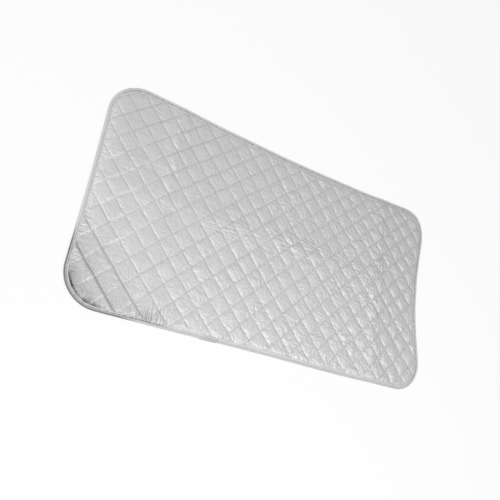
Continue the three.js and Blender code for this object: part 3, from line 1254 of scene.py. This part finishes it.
@dataclass
class SharedEffects:
    """Node groups that the finishes share: weave, mottle, crumples, fold crinkles and edge gathers."""

    crest_detail: float = 1.5
    crest_distortion: float = 0.6
    crest_sharpness: float = 5.0
    finer_scale: float = 2.3
    finer_height: float = 0.5
    sway_scale: float = 7.0
    sway: float = 0.05
    fold_end: Span = (0.0, 0.1)
    fold_stretch: Span = (22.0, 110.0)
    gather_stretch: Span = (130.0, 14.0)
    gather_sharpness: float = 4.0
    mottle_detail: float = 3.0
    mottle_roughness: float = 0.6
    speck_weight: float = 0.6
    weave: bpy.types.NodeTree = field(init=False)
    mottle: bpy.types.NodeTree = field(init=False)
    crumples: bpy.types.NodeTree = field(init=False)
    folds: bpy.types.NodeTree = field(init=False)
    gathers: bpy.types.NodeTree = field(init=False)

    def __post_init__(self) -> None:
        """Builds each group once."""
        self.weave = self._weave()
        self.mottle = self._mottle()
        self.crumples = self._crumples()
        self.folds = self._folds()
        self.gathers = self._gathers()

    @staticmethod
    def _start(name: str, values: dict[str, float]) -> tuple[Board, dict[str, Value]]:
        """Starts a group with a Vector input and value inputs.

        Args:
            name: the group's name.
            values: input names and their first values.

        Returns:
            The group's board and its inputs by name.
        """
        tree = bpy.data.node_groups.new(name, "ShaderNodeTree")
        tree.interface.new_socket(name="Vector", in_out="INPUT", socket_type="NodeSocketVector")
        for label, value in values.items():
            socket = tree.interface.new_socket(name=label, in_out="INPUT", socket_type="NodeSocketFloat")
            socket.default_value = value
        board = Board(tree)
        given = board.add("NodeGroupInput")
        return board, {label: Value(board, given.outputs[label]) for label in ("Vector", *values)}

    @staticmethod
    def _end(board: Board, label: str, result: Value) -> bpy.types.NodeTree:
        """Ends a group with its one value output.

        Args:
            board: the group's board.
            label: the output's name.
            result: what it gives.

        Returns:
            The finished group.
        """
        board.tree.interface.new_socket(name=label, in_out="OUTPUT", socket_type="NodeSocketFloat")
        board.add("NodeGroupOutput", {label: result})
        return board.tree

    def _crests(self, board: Board, vector: Value, scale: "Value | float", sharpness: float) -> Value:
        """Thin crests along a noise's middle value: one less sharpness times the distance from it."""
        noise = board.noise(vector, scale, self.crest_detail, Distortion=self.crest_distortion)
        return (1.0 - abs(noise - 0.5) * sharpness).most(0.0)

    def _crumples(self) -> bpy.types.NodeTree:
        """Crumples of crisp cloth: two layers of thin crests, the finer one weaker.

        Returns:
            The finished group.
        """
        board, given = self._start("crisp_crumples", {"Scale": 60.0})
        scales = (given["Scale"], given["Scale"] * self.finer_scale)
        wide, fine = (self._crests(board, given["Vector"], scale, self.crest_sharpness) for scale in scales)
        return self._end(board, "Height", wide + fine * self.finer_height)

    def _folds(self) -> bpy.types.NodeTree:
        """Crinkles along a fold that runs in X: long thin crests, which fade by the squared distance.

        Returns:
            The finished group.
        """
        board, given = self._start("fold_crinkles", {"Offset": 0.0, "Width": 0.02, "Start": -0.3, "End": 0.3})
        x, y = board.axes(given["Vector"])
        sway = (board.noise(given["Vector"], self.sway_scale) - 0.5) * self.sway
        off = y - given["Offset"] + sway
        ends = (x - given["Start"]).least(given["End"] - x).step(self.fold_end)
        stretched = board.vector(x * self.fold_stretch[0], off * self.fold_stretch[1])
        crest = self._crests(board, stretched, 1.0, self.crest_sharpness)
        return self._end(board, "Height", crest * (off.bell(0.0, given["Width"]) * ends))

    def _gathers(self) -> bpy.types.NodeTree:
        """Gathers beside a bound edge: thin crests across it, which fade with the distance from it.

        Returns:
            The finished group.
        """
        board, given = self._start("edge_gathers", {"Half Length": 0.4, "Half Width": 0.2, "Run": 0.012})
        x, y = board.axes(given["Vector"])
        heights = []
        for across, along, half in ((y, x, "Half Width"), (x, y, "Half Length")):
            near = (given[half] - abs(across)).most(0.0) / given["Run"]
            fine, long = along * self.gather_stretch[0], across * self.gather_stretch[1]
            stretched = board.vector(fine, long, float(len(heights)))
            crest = self._crests(board, stretched, 1.0, self.gather_sharpness)
            heights.append(crest * near.fade(1.0))
        return self._end(board, "Height", heights[0] + heights[1])

    def _weave(self) -> bpy.types.NodeTree:
        """A plain weave: sine ribs both ways, which take turns to lie on top.

        Returns:
            The finished group.
        """
        board, given = self._start("plain_weave", {"Threads": 1500.0})
        x, y = board.axes(given["Vector"])
        warp, weft = (board.math("SINE", side * given["Threads"] * math.pi) for side in (x, y))
        return self._end(board, "Height", warp * weft * 0.5 + 0.5)

    def _mottle(self) -> bpy.types.NodeTree:
        """Slow patches and fine specks of tone: two noises, added by weight and centred on 1.

        Returns:
            The finished group.
        """
        board, given = self._start("cloth_mottle", {"Patches": 30.0, "Specks": 900.0, "Depth": 0.1})
        kind = {"detail": self.mottle_detail, "Roughness": self.mottle_roughness}
        scales = (given["Patches"], given["Specks"])
        slow, fine = (board.noise(given["Vector"], scale, **kind) - 0.5 for scale in scales)
        return self._end(board, "Tone", (slow + fine * self.speck_weight) * given["Depth"] + 1.0)


@dataclass(frozen=True)
class ClothFinish:
    """A woven finish: colour, gloss, weave and how much its tone varies."""

    name: str
    colour: Point
    roughness: float
    metallic: float = 0.0
    sheen: float = 0.0
    sheen_roughness: float = 0.4
    threads: float = 1500.0
    weave_depth: float = 0.08 * MM
    weave_strength: float = 0.6
    patches: float = 30.0
    specks: float = 700.0
    tone_depth: float = 0.12
    crease_depth: float = 0.1 * MM
    crumple_scale: float = 60.0

    def material(self, effects: SharedEffects) -> bpy.types.Material:
        """Builds the material: mottled colour and roughness, and bumps from the weave and the creases.

        Args:
            effects: the shared node groups.

        Returns:
            The new material.
        """
        made = bpy.data.materials.new(self.name)
        board = Board.cleared(made)
        place = board.out("ShaderNodeTexCoord", output="Object")
        spread = {"Vector": place, "Patches": self.patches, "Specks": self.specks, "Depth": self.tone_depth}
        tone = board.group(effects.mottle, spread)
        woven = {"Height": board.group(effects.weave, {"Vector": place, "Threads": self.threads})}
        woven.update({"Strength": self.weave_strength, "Distance": self.weave_depth})
        creased = {"Height": self.creases(board, place, effects)}
        creased.update({"Strength": 1.0, "Distance": self.crease_depth})
        normal = board.out("ShaderNodeBump", {"Normal": board.out("ShaderNodeBump", woven), **creased})
        shaded = {0: self.colour, "Scale": self.shade(board, place, tone)}
        surface = {
            "Base Color": board.out("ShaderNodeVectorMath", shaded, operation="SCALE"),
            "Roughness": tone * self.roughness,
            "Metallic": self.metallic,
            "Sheen Weight": self.sheen,
            "Sheen Roughness": self.sheen_roughness,
            "Normal": normal,
        }
        board.add("ShaderNodeOutputMaterial", {"Surface": board.out("ShaderNodeBsdfPrincipled", surface)})
        return made

    def creases(self, board: Board, place: Value, effects: SharedEffects) -> Value:
        """Height of the cloth's fine creases."""
        return board.group(effects.crumples, {"Vector": place, "Scale": self.crumple_scale})

    def shade(self, board: Board, place: Value, tone: Value) -> Value:
        """Factor on the colour: the mottle alone."""
        return tone


@dataclass(frozen=True)
class TapeFinish(ClothFinish):
    """The binding tape: with painted shade along its seam, and along the fold where it turns under."""

    # Painted shade along the fold where the tape turns under, on the front and strongest in the front left
    # corner
    fold_shade: float = 0.78
    fold_place: float = 7.1 * MM
    fold_width: float = 1.9 * MM
    front_fold: float = 0.3
    # Painted shade along the seam, broken into dashes, weaker on the left and the front, and teeth of painted
    # shadow on the front's left part
    seam_shade: float = 0.55
    seam_place: float = EdgeBinding.seam_from_edge
    seam_width: float = 1.1 * MM
    left_fading: float = 0.55
    front_fading: float = 1.5
    front_teeth: float = 0.6
    teeth_end: Span = (-0.25, -0.20)
    dashes: float = 150.0
    dash_noise: Span = (0.3, 0.7)
    dash_depth: Span = (0.5, 1.3)
    # Painted shade on the back and right sides, which face away from the light
    far_shade: float = 0.08
    # Painted shade on the tape's lapped end at the front
    lap_shade: float = 0.10
    corner_edge: Span = (-0.50, -0.55)
    front_edge: Span = (-0.19, -0.215)
    left_edge: Span = (-0.385, -0.405)
    back_edge: Span = (0.19, 0.21)
    right_edge: Span = (0.38, 0.40)

    def shade(self, board: Board, place: Value, tone: Value) -> Value:
        """Factor on the colour: the mottle, and painted shade along the fold and the seam, on the far sides
        and on the lap.

        The seam's painted shade is broken into dashes. It fades on the left and on the front, apart from the
        front's left part, where it shows as teeth of painted shadow. The fold's painted shade shows in the
        front left corner and on the front.

        Args:
            board: the material's board.
            place: object coordinates.
            tone: the mottle.

        Returns:
            The factor.
        """
        x, y = board.axes(place)
        along, across = board.axes(board.pattern())
        corner = (x + y).step(self.corner_edge)
        front = y.step(self.front_edge) * (1.0 - corner)
        left = x.step(self.left_edge) * (1.0 - corner)
        # How strong the seam's painted shade is: weaker on the left and the front, with teeth on the front's
        # left part
        bare = front * (x.step(self.teeth_end, self.front_fading) - self.front_teeth)
        sewn = (1.0 - (bare + left * self.left_fading)).most(0.0)
        spread = {"W": along, "Scale": self.dashes, "Detail": 1.0}
        dashes = board.out("ShaderNodeTexNoise", spread, "Fac", noise_dimensions="1D")
        # Painted shade: a dark line along the seam, broken into dashes
        seam = across.bell(self.seam_place, self.seam_width) * self.seam_shade
        seam = seam * dashes.ramp(self.dash_noise, self.dash_depth)
        # Painted shade: a dark line along the fold, on the front and in the front left corner
        fold = across.bell(self.fold_place, self.fold_width) * self.fold_shade
        # Painted shade on the back and right sides
        far = y.step(self.back_edge).most(x.step(self.right_edge)) * self.far_shade
        # Painted shade on the lap
        first, last = EdgeBinding.lap_start, EdgeBinding.lap_end
        lapped = x.step((first.start, first.start + first.run), self.lap_shade) * x.below(last.start)
        dark = seam * sewn + fold * (front * self.front_fold + corner) + far + lapped * front
        return tone * (1.0 - dark)


@dataclass(frozen=True)
class FoldCrinkles:
    """Fine crinkles of one fold: its line, their width, where they start and end, and their depth."""

    line: float
    width: float
    start: float
    end: float
    depth: float


@dataclass(frozen=True)
class FaceFinish(ClothFinish):
    """The coated face: also creased along its folds, rougher to the right, with painted shade in its front
    left corner.
    """

    long_fold: FoldCrinkles = FoldCrinkles(PadPlan.long_crease.place, 0.030, -0.24, 0.32, 1.7)
    left_fold: FoldCrinkles = FoldCrinkles(PadPlan.left_crease.place, 0.018, 0.02, 0.24, 1.6)
    right_fold: FoldCrinkles = FoldCrinkles(PadPlan.right_crease.place, 0.016, -0.24, 0.24, 2.6)
    fold_least: float = 0.4
    crumple_span: Span = (-0.3, 0.25)
    crumple_growth: Span = (0.75, 1.35)
    gather_depth: float = 1.6
    gather_run: float = 0.013
    gather_half: Span = (0.414, 0.219)
    fan_place: float = -0.25
    fan_width: float = 0.035
    fan_depth: float = 3.5
    # Painted shade in the front left corner: darker all over, in its grooves and on one side of them
    painted_corner_shade: float = 0.10
    corner_span: Span = (-0.44, -0.53)
    groove_shade: float = 0.4
    groove_fade: float = 22.0
    side_shade: float = 0.16
    side_fade: float = 6.0
    # Painted shade along the sewn lines, stronger at the back left
    seam_shade: float = 0.09
    seam_fade: float = 30.0
    back_shade: float = 0.07
    back_span_x: Span = (-0.05, -0.2)
    back_span_y: Span = (0.02, 0.1)
    # Painted highlights along the rising lines in the corner and, in broken stretches, at the left end
    corner_gleam: float = 3.0
    line_gleam: float = 5.2
    gleam_span_x: Span = (-0.27, -0.35)
    gleam_span_y: Span = (0.14, 0.06)
    gleam_scale: float = 28.0
    gleam_breaks: Span = (0.32, 0.62)
    # Painted highlight along the left edge
    edge_gleam: float = 0.08
    edge_span: Span = (-0.375, -0.41)
    # Painted shade on the right flap
    flap_shade: float = 0.02
    flap_span: Span = (0.22, 0.30)
    # Painted shadow, broken into patches, along a ring beside the tape at the corner's round edge, with more
    # painted corner shade past the corner's first groove
    rim_shadow_depth: float = 0.75
    rim_shadow_span: Span = (-0.555, -0.585)
    rim_shadow_centre: Span = (-0.3596, -0.1626)
    rim_shadow_radius: float = 0.0605
    rim_shadow_fade: float = 140.0
    rim_shadow_scale: float = 55.0
    rim_shadow_breaks: Span = (0.3, 0.52)

    def creases(self, board: Board, place: Value, effects: SharedEffects) -> Value:
        """Height of the crumples, which grow toward the right end, of the folds' crinkles and the gathers.

        Args:
            board: the material's board.
            place: object coordinates.
            effects: the shared node groups.

        Returns:
            The height.
        """
        x, y = board.axes(place)
        swapped = board.vector(y, x)
        total = super().creases(board, place, effects) * x.ramp(self.crumple_span, self.crumple_growth)
        diamond = board.out("ShaderNodeVectorMath", {0: board.pattern()}, operation="FLOOR")
        chance = board.out("ShaderNodeTexWhiteNoise", {"Vector": diamond}, "Value", noise_dimensions="2D")
        uneven = chance + self.fold_least
        for vector, fold in ((place, self.long_fold), (swapped, self.left_fold), (swapped, self.right_fold)):
            ends = {"Width": fold.width, "Start": fold.start, "End": fold.end}
            crinkle = board.group(effects.folds, {"Vector": vector, "Offset": fold.line, **ends})
            total = total + crinkle * (uneven * fold.depth)
        half_length, half_width = self.gather_half
        edge = {"Half Length": half_length, "Half Width": half_width, "Run": self.gather_run}
        fan = x.bell(self.fan_place, self.fan_width) * y.below(0.0)
        gathered = board.group(effects.gathers, {"Vector": place, **edge}) * (fan * self.fan_depth + 1.0)
        return total + gathered * self.gather_depth

    def shade(self, board: Board, place: Value, tone: Value) -> Value:
        """Factor on the colour: the mottle, and painted shade along the sewn lines, on the right flap and in
        the front left corner.

        Painted highlights lie along the rising lines in the corner and, in broken stretches, at the left end,
        and along the left edge. The corner has painted shade in its grooves, and a broken painted shadow
        along a ring beside its round edge.

        Args:
            board: the material's board.
            place: object coordinates.
            tone: the mottle.

        Returns:
            The factor.
        """
        x, y = board.axes(place)
        past, climb = (board.math("FRACT", side) for side in board.axes(board.pattern()))
        gap, rise = (side.least(1.0 - side) for side in (past, climb))
        corner = (x + y).step(self.corner_span)
        # Painted highlights: the rising lines turn lighter in the corner and in broken stretches at the left
        # end
        gleam = x.step(self.gleam_span_x, self.line_gleam) * y.step(self.gleam_span_y)
        gleam = gleam * board.noise(place, self.gleam_scale).step(self.gleam_breaks)
        rising = rise.fade(self.seam_fade) * (1.0 - (corner * self.corner_gleam).most(gleam))
        # Painted shade along the sewn lines, stronger at the back left
        back = x.step(self.back_span_x) * y.step(self.back_span_y) * self.back_shade
        sewn = (rising + gap.fade(self.seam_fade)) * (back + self.seam_shade)
        # Painted shade in the corner's grooves and on their far side
        groove = gap.fade(self.groove_fade) * self.groove_shade + past.fade(self.side_fade) * self.side_shade
        # Painted shadow along a ring beside the tape at the corner's round edge, broken into patches
        off_x, off_y = x - self.rim_shadow_centre[0], y - self.rim_shadow_centre[1]
        ring = abs(board.math("SQRT", off_x * off_x + off_y * off_y) - self.rim_shadow_radius)
        patchy = board.noise(place, self.rim_shadow_scale).ramp(self.rim_shadow_breaks)
        rim_shadow = ring.fade(self.rim_shadow_fade) * patchy * self.rim_shadow_depth + self.painted_corner_shade
        dark = corner * (groove + self.painted_corner_shade) + (x + y).step(self.rim_shadow_span) * rim_shadow
        # Painted highlight: lighter along the left edge, outside the corner
        pale = x.step(self.edge_span, self.edge_gleam) * (1.0 - corner)
        # Painted shade on the right flap, added to the rest of the painted shade and highlights
        return tone * (1.0 - (dark + sewn - pale + x.step(self.flap_span, self.flap_shade)))


SILVER_FACE = FaceFinish(
    "silver_coated_cloth", (0.78, 0.78, 0.78), 0.52, metallic=0.3, sheen=0.1, crease_depth=0.7 * MM
)
FIBRE_FILL = ClothFinish("white_fibre_fill", (0.85, 0.84, 0.80), 0.95, threads=400.0, crease_depth=1.0 * MM)
GREY_BACKING = ClothFinish("grey_backing_cloth", (0.50, 0.50, 0.49), 0.85, sheen=0.25, threads=1100.0)
GREY_TAPE = TapeFinish(
    "grey_binding_tape", (0.75, 0.75, 0.75), 0.65, metallic=0.1, sheen=0.15, threads=1300.0
)
QUILTING_THREAD = ClothFinish(
    "pale_quilting_thread", (0.60, 0.60, 0.60), 0.6, threads=3000.0, weave_depth=0.05 * MM
)
EDGING_THREAD = ClothFinish(
    "grey_edging_thread", (0.50, 0.50, 0.50), 0.6, threads=3000.0, weave_depth=0.05 * MM
)


@dataclass(frozen=True)
class SoftLight:
    """A square soft light: its name, its place, what it looks at, its size and its power."""

    name: str
    place: Point
    target: Point
    size: float
    power: float

    def build(self) -> None:
        """Adds the light to the scene."""
        data = bpy.data.lights.new(self.name, "AREA")
        data.size, data.energy = self.size, self.power
        light = bpy.data.objects.new(self.name, data)
        light.location = self.place
        light.rotation_mode = "QUATERNION"
        light.rotation_quaternion = (Vector(self.target) - Vector(self.place)).to_track_quat("-Z", "Y")
        bpy.context.scene.collection.objects.link(light)


def grey(level: float) -> tuple[float, float, float, float]:
    """A grey as a shader's colour."""
    return level, level, level, 1.0


@dataclass
class Studio:
    """The pale floor, the soft lights and the camera of the product view."""

    eye: Point = (-0.6331, -0.4620, 1.0001)
    forward: Point = (0.45977, 0.35751, -0.81290)
    down: Point = (0.29823, -0.92438, -0.23787)
    lens: float = 42.71
    sensor: float = 36.0
    clip: Span = (0.01, 100.0)
    left_light: SoftLight = SoftLight("left_softbox", (-1.6, -0.6, 1.8), (0.0, 0.0, 0.0), 1.0, 21.0)
    front_light: SoftLight = SoftLight("front_softbox", (0.15, -0.85, 1.10), (0.05, 0.0, 0.0), 0.8, 8.0)
    sky_fill: float = 0.36
    sky_seen: float = 0.97
    floor_reach: float = 30.0
    floor_seen: float = 0.93
    floor_bounce: float = 0.45
    floor_glow: float = 0.88

    def camera(self) -> None:
        """Sets the camera by its place, its forward direction and the picture's down direction."""
        data = bpy.data.cameras.new("product_camera")
        data.lens, data.sensor_width, data.sensor_fit = self.lens, self.sensor, "HORIZONTAL"
        data.clip_start, data.clip_end = self.clip
        ahead = Vector(self.forward).normalized()
        up = (-Vector(self.down)).normalized()
        right = ahead.cross(up).normalized()
        seat = Matrix((right, right.cross(ahead), -ahead)).transposed().to_4x4()
        seat.translation = Vector(self.eye)
        camera = bpy.data.objects.new("product_camera", data)
        camera.matrix_world = seat
        bpy.context.scene.collection.objects.link(camera)
        bpy.context.scene.camera = camera

    def floor(self) -> None:
        """A pale floor: mostly its own white to the eye, with enough plain colour to take the shadow."""
        corners = np.array([[-1.0, -1.0, 0.0], [1.0, -1.0, 0.0], [1.0, 1.0, 0.0], [-1.0, 1.0, 0.0]])
        floor = new_piece("studio_floor", self.floor_reach * corners, np.array([[0, 1, 2, 3]]))
        made = bpy.data.materials.new("studio_floor")
        board = Board.cleared(made)
        path = board.add("ShaderNodeLightPath").outputs
        kinds = ("Is Camera Ray", "Is Glossy Ray", "Is Transmission Ray")
        camera, glossy, through = (Value(board, path[kind]) for kind in kinds)
        matt = board.out("ShaderNodeBsdfDiffuse", {"Color": grey(self.floor_seen)})
        dim = board.out("ShaderNodeBsdfDiffuse", {"Color": grey(self.floor_bounce)})
        glow = board.out("ShaderNodeEmission", {"Color": grey(1.0), "Strength": 1.0})
        blend = board.out("ShaderNodeMixShader", {"Fac": self.floor_glow, 1: matt, 2: glow})
        seen = camera.most(glossy.most(through))
        shown = board.out("ShaderNodeMixShader", {"Fac": seen, 1: dim, 2: blend})
        board.add("ShaderNodeOutputMaterial", {"Surface": shown})
        floor.data.materials.append(made)

    def sky(self) -> None:
        """An even sky that lights the pad, with a paler one for the camera."""
        world = bpy.data.worlds.new("studio_sky")
        board = Board.cleared(world)
        seen = board.out("ShaderNodeLightPath", output="Is Camera Ray")
        fill = board.out("ShaderNodeBackground", {"Color": grey(1.0), "Strength": self.sky_fill})
        pale = board.out("ShaderNodeBackground", {"Color": grey(1.0), "Strength": self.sky_seen})
        shown = board.out("ShaderNodeMixShader", {"Fac": seen, 1: fill, 2: pale})
        board.add("ShaderNodeOutputWorld", {"Surface": shown})
        bpy.context.scene.world = world

    def build(self) -> None:
        """Sets the stage and the picture's plain view transform."""
        self.camera()
        self.floor()
        self.left_light.build()
        self.front_light.build()
        self.sky()
        bpy.context.scene.view_settings.view_transform = "Standard"


def dress(piece: Piece, finish: bpy.types.Material, slot: str, *nodes: str) -> Piece:
    """Gives a piece its finish in a material slot and its body, and hides the CAD nodes that it stands for.

    Args:
        piece: the new piece.
        finish: its material.
        slot: not used.
        nodes: the CAD nodes that it replaces.

    Returns:
        The piece.
    """
    piece.data.materials.append(finish)
    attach(piece, "root")
    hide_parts(*nodes)
    LOG.info("%s: %d faces", piece.name, len(piece.data.polygons))
    return piece


def main() -> None:
    """Builds the stage, the sewn layers, the binding and the stitches."""
    logging.basicConfig(level=logging.INFO, format="%(name)s: %(message)s")
    low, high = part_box("edge_binding")
    plan = PadPlan(length=high.x - low.x, width=high.y - low.y)
    Studio().build()
    effects = SharedEffects()
    pad = QuiltedPad(plan)
    binding = EdgeBinding(plan)
    stitching = PadStitching(plan, pad, binding)
    wadding = dress(pad.wadding(), FIBRE_FILL.material(effects), "wadding", "wadding")
    face = dress(pad.face(), SILVER_FACE.material(effects), "face_cloth", "face_cloth")
    backing = dress(pad.backing(), GREY_BACKING.material(effects), "backing_cloth", "backing_cloth")
    tape = dress(binding.build(), GREY_TAPE.material(effects), "binding_tape", "edge_binding")
    quilting = QUILTING_THREAD.material(effects)
    edging = EDGING_THREAD.material(effects)
    for label, rising in (("rising", True), ("falling", False)):
        for word, side in (("thread", Face.UPPER), ("bobbin_thread", Face.UNDER)):
            node = f"quilting_{word}_{label}"
            thread = stitching.quilting_thread(f"{node}_stitches", rising, side)
            dress(thread, quilting, "quilting_thread", node)
    for node, side in (("binding_thread", Face.UPPER), ("binding_bobbin_thread", Face.UNDER)):
        dress(stitching.binding_thread(f"{node}_stitches", side), edging, "binding_thread", node)


if __name__ == "__main__":
    main()
